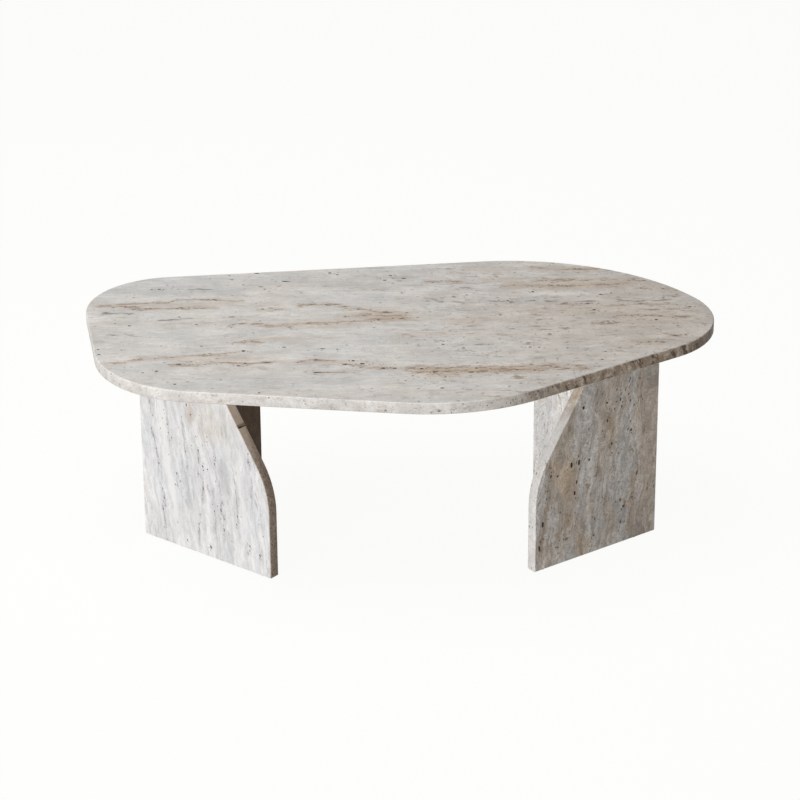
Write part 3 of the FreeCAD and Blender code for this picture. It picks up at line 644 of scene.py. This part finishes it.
class Pitting:
    """The pits of one slab, gathered as cutters and then cut in one go."""

    def __init__(self, slab, piece, shapes, seed):
        self.slab = slab
        self.piece = piece
        self.shapes = shapes
        self.draw = random.Random(seed)
        self.cutters = []
        self.taken = []

    def cut_at(self, point, towards, length, width, beds):
        """A pit where a line from the point meets the slab squarely and clear of the other pits."""
        struck, spot, normal, _ = self.piece.ray_cast(point, towards)
        reach = 0.5 * length * MM
        if not struck or normal.dot(towards) > -0.8:
            return
        if any((spot - other).length < 1.4 * (reach + room) for other, room in self.taken):
            return
        sideways = normal.cross(beds).normalized()
        lengthways = sideways.cross(normal)
        turn = Matrix((lengthways, sideways, normal)).transposed().to_4x4()
        twist = Matrix.Rotation(math.radians(self.draw.uniform(-14, 14)), 4, "Z")
        depth = width * self.draw.uniform(0.55, 0.8)
        size = Matrix.Diagonal((0.5 * length * MM, 0.5 * width * MM, depth * MM, 1))
        shape = self.draw.choice(self.shapes)
        cutter = bpy.data.objects.new("pit", shape.data.copy())
        bpy.context.scene.collection.objects.link(cutter)
        cutter.matrix_world = Matrix.Translation(spot) @ turn @ twist @ size
        self.cutters.append(cutter)
        self.taken.append((spot, reach))

    def cut_face(self, u, v, length, width, inner=False):
        """A pit in the slab's outer face, or in its inner one."""
        face = -self.slab.face if inner else self.slab.face
        start = self.slab.place(u, v, -2 * FIN_THICKNESS if inner else FIN_THICKNESS)
        self.cut_at(start, -face, length, width, self.slab.along)

    def cut_listed(self, pits):
        """The slab's larger pits, with small ones at their ends."""
        for u, v, length, width in pits:
            self.cut_face(u, v, length, width)
            for _ in range(self.draw.randint(1, 3)):
                part = self.draw.uniform(0.3, 0.55)
                along = self.draw.choice((-1, 1)) * self.draw.uniform(0.75, 1.3) * length
                across = self.draw.gauss(0, 0.5) * width
                self.cut_face(*self.slab.beside(u, v, along, across), part * length, part * width)

    def follow(self, veins, count):
        """Small pits along the slab's veins."""
        for _ in range(count):
            points, _ = self.draw.choice(veins)
            step = self.draw.randrange(len(points) - 1)
            (u, v), (next_u, next_v) = points[step:step + 2]
            part = self.draw.random()
            u += (next_u - u) * part + self.draw.gauss(0, 3)
            v += (next_v - v) * part + self.draw.gauss(0, 3)
            self.cut_face(u, v, self.draw.uniform(1.8, 4.8), self.draw.uniform(1.2, 2.2))

    def scatter(self, count, sides, ups, inner=False):
        """Small pits strewn over one face of the slab, in loose rows that run with the beds."""
        rows = [(self.draw.uniform(*sides), self.draw.uniform(*ups)) for _ in range(count // 6 + 1)]
        for number in range(count):
            shift = (self.draw.gauss(0, 55), self.draw.gauss(0, 5))
            u, v = self.slab.beside(*rows[number % len(rows)], *shift)
            self.cut_face(u, v, self.draw.uniform(1.6, 4.0), self.draw.uniform(1.0, 1.9), inner)

    def scatter_edge(self, count, turns, heights):
        """Pits in the slab's edge, between two turns about its middle."""
        for _ in range(count):
            outwards = compass(self.draw.uniform(*turns))
            start = outwards * 0.8 + UP * self.draw.uniform(*heights) * MM
            beds = self.draw.choice((UP, UP, outwards.cross(UP)))
            self.cut_at(start, -outwards, self.draw.uniform(1.8, 4.6), self.draw.uniform(1.0, 2.0), beds)

    def carry_out(self):
        """Joins the cutters and takes them out of the slab, lined with the dark pit lining, partly painted
        shade.
        """
        plain = len(self.piece.data.polygons)
        deselect_all()
        for cutter in self.cutters:
            cutter.select_set(True)
        bpy.context.view_layer.objects.active = self.cutters[0]
        bpy.ops.object.join()
        tool = bpy.context.active_object
        deselect_all()
        self.piece.select_set(True)
        bpy.context.view_layer.objects.active = self.piece
        cut = self.piece.modifiers.new("pits", "BOOLEAN")
        cut.operation = "DIFFERENCE"
        cut.solver = "EXACT"
        cut.object = tool
        cut.material_mode = "TRANSFER"
        bpy.ops.object.modifier_apply(modifier=cut.name)
        bpy.data.objects.remove(tool)
        if len(self.piece.data.polygons) < plain + 10 * len(self.cutters):
            raise RuntimeError(f"the pits of {self.piece.name} were not cut")


def copy_slab(slab, name, material):
    """A welded copy of the CAD slab, with its arrises eased a little rounder."""
    piece = bpy.data.objects.new(name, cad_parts[slab.node].data.copy())
    bpy.context.scene.collection.objects.link(piece)
    deselect_all()
    piece.select_set(True)
    bpy.context.view_layer.objects.active = piece
    bpy.ops.object.mode_set(mode="EDIT")
    bpy.ops.mesh.select_all(action="SELECT")
    bpy.ops.mesh.remove_doubles(threshold=0.000001)
    bpy.ops.mesh.dissolve_limited(angle_limit=math.radians(0.1))
    bpy.ops.object.mode_set(mode="OBJECT")
    ease = piece.modifiers.new("eased_arris", "BEVEL")
    ease.width = ARRIS_WIDTH * MM
    ease.segments = 2
    ease.limit_method = "ANGLE"
    ease.angle_limit = math.radians(28)
    bpy.ops.object.modifier_apply(modifier=ease.name)
    piece.data.materials.clear()
    piece.data.materials.append(material)
    bpy.context.view_layer.update()
    return piece


def shade_slab(piece):
    """Smooth curved edges, with a crisp rim round every pit."""
    deselect_all()
    piece.select_set(True)
    bpy.context.view_layer.objects.active = piece
    bpy.ops.object.shade_smooth_by_angle(angle=math.radians(30))
    bpy.ops.object.mode_set(mode="EDIT")
    bpy.ops.mesh.select_mode(type="FACE")
    bpy.ops.mesh.select_all(action="DESELECT")
    piece.active_material_index = len(piece.material_slots) - 1
    bpy.ops.object.material_slot_select()
    bpy.ops.mesh.region_to_loop()
    bpy.ops.mesh.mark_sharp()
    bpy.ops.object.mode_set(mode="OBJECT")


def hand_over(piece, slab):
    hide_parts(slab.node)
    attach(piece, "root")


lining = pit_lining()
pit_shapes = [model_pit(seed) for seed in PIT_SEEDS]
for shape in pit_shapes:
    shape.data.materials.append(lining)

TOP_SPAN = ((-540, 540), (-310, 310))
TOP_EDGE_SPAN = (382, 397)
FIN_SPAN = ((10, 290), (8, 370))

top_piece = copy_slab(tabletop, "tabletop_slab", tabletop_stone())
pitting = Pitting(tabletop, top_piece, pit_shapes, 11)
pitting.cut_listed(TOP_PITS)
pitting.follow(TOP_BROWN_VEINS, 130)
pitting.scatter(60, *TOP_SPAN)
pitting.scatter(50, *TOP_SPAN, inner=True)
pitting.scatter_edge(40, (-75, -10), TOP_EDGE_SPAN)
pitting.scatter_edge(30, (-10, 285), TOP_EDGE_SPAN)
pitting.carry_out()
shade_slab(top_piece)
hand_over(top_piece, tabletop)


def cut_crack(pitting):
    """A short crack across the thickness of a fin's sloping cut-away."""
    slope = math.radians(CUTAWAY_SLOPE)
    slab = pitting.slab
    off_slope = slab.side * math.sin(slope) + UP * math.cos(slope)
    on_slope = slab.place(*CRACK_PLACE, -FIN_THICKNESS / 2)
    start = on_slope + off_slope * FIN_THICKNESS * MM
    pitting.cut_at(start, -off_slope, CRACK_LENGTH, CRACK_WIDTH, slab.face)


for slab, name, material, listed, veins, seed in (
    (left_front, "left_front_slab", left_front_stone(), LEFT_FRONT_PITS, LEFT_FRONT_VEINS, 23),
    (left_rear, "left_rear_slab", left_rear_stone(), (), (), 37),
    (right_front, "right_front_slab", right_front_stone(), RIGHT_FRONT_PITS, RIGHT_FRONT_VEINS, 41),
    (right_rear, "right_rear_slab", right_rear_stone(), (), (), 59),
):
    piece = copy_slab(slab, name, material)
    pitting = Pitting(slab, piece, pit_shapes, seed)
    pitting.cut_listed(listed)
    if veins:
        pitting.follow(veins, 30)
    if slab is left_front:
        cut_crack(pitting)
    pitting.scatter(30, *FIN_SPAN)
    pitting.scatter(40, *FIN_SPAN, inner=True)
    pitting.carry_out()
    shade_slab(piece)
    hand_over(piece, slab)

for shape in pit_shapes:
    bpy.data.objects.remove(shape)


# Hidden fittings: the CAD pieces themselves, with their finishes

def brushed_steel():
    """Drawn rod: fine marks round it and a little unevenness in its shine."""
    steel = Recipe("brushed_steel")
    place = steel.place_in_mm()
    marks = steel.noise(place, (4, 4, 0.25), 4, 0.6)
    smears = steel.noise(place, (9, 9, 14), 3, 0.5, 5.1)
    tone = steel.mix(smears, rgb(0.50, 0.50, 0.51), rgb(0.68, 0.68, 0.69))
    steel.feed(steel.shader.inputs["Base Color"], steel.mix(0.35, tone, marks, "MULTIPLY"))
    steel.shader.inputs["Metallic"].default_value = 1.0
    steel.feed(steel.shader.inputs["Roughness"], steel.between(marks, 0.3, 0.7, 0.24, 0.42))
    bump = steel.add("ShaderNodeBump", {"Strength": 0.25, "Distance": 0.0001, "Height": marks})
    steel.feed(steel.shader.inputs["Normal"], bump.outputs[0])
    return steel.material


def soft_pad():
    """Clear cushion pad: milky, with faint clouds and a fine skin."""
    pad = Recipe("cushion_pad")
    place = pad.place_in_mm()
    clouds = pad.noise(place, (5, 5, 5), 3, 0.5)
    skin = pad.noise(place, (0.5, 0.5, 0.5), 2, 0.6, 3.3)
    tone = pad.mix(clouds, rgb(0.74, 0.74, 0.71), rgb(0.86, 0.86, 0.85))
    pad.feed(pad.shader.inputs["Base Color"], tone)
    pad.feed(pad.shader.inputs["Roughness"], pad.between(skin, 0.3, 0.7, 0.38, 0.55))
    bump = pad.add("ShaderNodeBump", {"Strength": 0.3, "Distance": 0.0001, "Height": skin})
    pad.feed(pad.shader.inputs["Normal"], bump.outputs[0])
    return pad.material


def glide_nylon():
    """Matt moulded nylon with a fine texture and scuffs from the floor."""
    nylon = Recipe("glide_nylon")
    place = nylon.place_in_mm()
    texture = nylon.noise(place, (0.6, 0.6, 0.6), 2, 0.6)
    scuffs = nylon.noise(place, (7, 1.2, 3), 4, 0.65, 2.7)
    worn = nylon.between(scuffs, 0.5, 0.7)
    tone = nylon.mix(worn, rgb(0.56, 0.55, 0.53), rgb(0.44, 0.42, 0.39))
    nylon.feed(nylon.shader.inputs["Base Color"], tone)
    nylon.feed(nylon.shader.inputs["Roughness"], nylon.between(texture, 0.3, 0.7, 0.5, 0.68))
    bump = nylon.add("ShaderNodeBump", {"Strength": 0.35, "Distance": 0.0001, "Height": texture})
    nylon.feed(nylon.shader.inputs["Normal"], bump.outputs[0])
    return nylon.material


steel = brushed_steel()
fittings = {
    "mitre_dowels": steel,
    "locating_pins": steel,
    "cushion_pads": soft_pad(),
    "glides": glide_nylon(),
}
for base in ("left", "right"):
    for kind, finish in fittings.items():
        for material_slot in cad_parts[f"{base}_{kind}"].material_slots:
            material_slot.material = finish


# The studio

CAMERA_PLACE = (0.0173, -4.8615, 2.3958)
CAMERA_PITCH = 23.7076
CAMERA_ROLL = -0.41888
CAMERA_HEADING = 0.183
CAMERA_LENS = 133.25
CAMERA_SENSOR = 36

FLOOR_SIZE = 60
FLOOR_DROP = 0.0001
FLOOR_WHITE_SHARE = 0.95
FILL_STRENGTH = 0.125
LAMP_DISTANCE = 12
BASES_MIDDLE = (0, 0, 0.3)
TOP_MIDDLE = (0, 0, 0.4)


def make_camera():
    """The photograph's view: a long lens in front of the table, looking down on it."""
    pitch = math.radians(CAMERA_PITCH)
    roll = math.radians(CAMERA_ROLL)
    heading = Matrix.Rotation(math.radians(CAMERA_HEADING), 3, "Z")
    right = heading @ Vector((1, 0, 0))
    forward = heading @ Vector((0, math.cos(pitch), -math.sin(pitch)))
    over = heading @ Vector((0, math.sin(pitch), math.cos(pitch)))
    tilted_right = right * math.cos(roll) + over * math.sin(roll)
    tilted_over = over * math.cos(roll) - right * math.sin(roll)
    lens = bpy.data.cameras.new("camera")
    lens.sensor_width = CAMERA_SENSOR
    lens.lens = CAMERA_LENS
    camera = bpy.data.objects.new("camera", lens)
    bpy.context.scene.collection.objects.link(camera)
    turn = Matrix((tilted_right, tilted_over, -forward)).transposed()
    camera.matrix_world = Matrix.Translation(CAMERA_PLACE) @ turn.to_4x4()
    bpy.context.scene.camera = camera


def make_softbox(name, place, target, width, height, power, colour=(1.0, 1.0, 1.0), mirrored=False):
    """A lamp as wide as a window, kept out of reflections unless it is to be mirrored."""
    lamp = bpy.data.lights.new(name, "AREA")
    lamp.shape = "RECTANGLE"
    lamp.size = width
    lamp.size_y = height
    lamp.energy = power
    lamp.color = colour
    softbox = bpy.data.objects.new(name, lamp)
    bpy.context.scene.collection.objects.link(softbox)
    softbox.visible_glossy = mirrored
    aim = (Vector(target) - Vector(place)).to_track_quat("-Z", "Y")
    softbox.matrix_world = Matrix.Translation(place) @ aim.to_matrix().to_4x4()


def seen_directly(tree):
    """One where the white is looked at, straight or in a reflection, and nought where it lights things."""
    path = tree.nodes.new("ShaderNodeLightPath")
    first = tree.nodes.new("ShaderNodeMath")
    first.operation = "MAXIMUM"
    second = tree.nodes.new("ShaderNodeMath")
    second.operation = "MAXIMUM"
    tree.links.new(path.outputs["Is Camera Ray"], first.inputs[0])
    tree.links.new(path.outputs["Is Glossy Ray"], first.inputs[1])
    tree.links.new(first.outputs[0], second.inputs[0])
    tree.links.new(path.outputs["Is Transmission Ray"], second.inputs[1])
    return second.outputs[0]


WHITE = rgb(1.0, 1.0, 0.985)


def make_world():
    """A white background to look at, and a dim warm fill from all round."""
    world = bpy.data.worlds.new("studio")
    bpy.context.scene.world = world
    world.use_nodes = True
    tree = world.node_tree
    tree.nodes.clear()
    fill = tree.nodes.new("ShaderNodeBackground")
    fill.inputs["Color"].default_value = rgb(1.0, 0.87, 0.75)
    fill.inputs["Strength"].default_value = FILL_STRENGTH
    white = tree.nodes.new("ShaderNodeBackground")
    white.inputs["Color"].default_value = WHITE
    white.inputs["Strength"].default_value = 1.0
    choice = tree.nodes.new("ShaderNodeMixShader")
    out = tree.nodes.new("ShaderNodeOutputWorld")
    tree.links.new(seen_directly(tree), choice.inputs[0])
    tree.links.new(fill.outputs[0], choice.inputs[1])
    tree.links.new(white.outputs[0], choice.inputs[2])
    tree.links.new(choice.outputs[0], out.inputs["Surface"])


def make_floor():
    """A pale floor that keeps a faint shadow: mostly white of its own, with a share that takes the light."""
    deselect_all()
    bpy.ops.mesh.primitive_plane_add(size=FLOOR_SIZE, location=(0, 0, -FLOOR_DROP))
    floor = bpy.context.active_object
    floor.name = "floor"
    paint = Recipe("pale_floor")
    tree = paint.tree
    tree.nodes.remove(paint.shader)
    seen = seen_directly(tree)
    matt = paint.add("ShaderNodeBsdfDiffuse", {"Color": paint.mix(seen, rgb(0.36, 0.32, 0.28), WHITE)})
    white = paint.add("ShaderNodeEmission", {"Color": WHITE, "Strength": 1.0})
    share = paint.math("MULTIPLY", seen, FLOOR_WHITE_SHARE)
    choice = paint.add("ShaderNodeMixShader", {0: share, 1: matt.outputs[0], 2: white.outputs[0]})
    tree.links.new(choice.outputs[0], tree.nodes["Material Output"].inputs["Surface"])
    floor.data.materials.append(paint.material)


bpy.context.scene.view_settings.view_transform = "Standard"
make_camera()
make_world()
make_floor()
front_left = compass(240) * LAMP_DISTANCE + UP * 1.25
behind = compass(98) * LAMP_DISTANCE + UP * 0.9
overhead = (-0.9, -0.3, 3.2)
make_softbox("key_softbox", front_left, BASES_MIDDLE, 6.0, 2.3, 1190)
make_softbox("rear_softbox", behind, BASES_MIDDLE, 5.0, 1.6, 600, colour=(1.0, 0.97, 0.94))
make_softbox("top_softbox", overhead, TOP_MIDDLE, 2.6, 2.6, 77, mirrored=True)
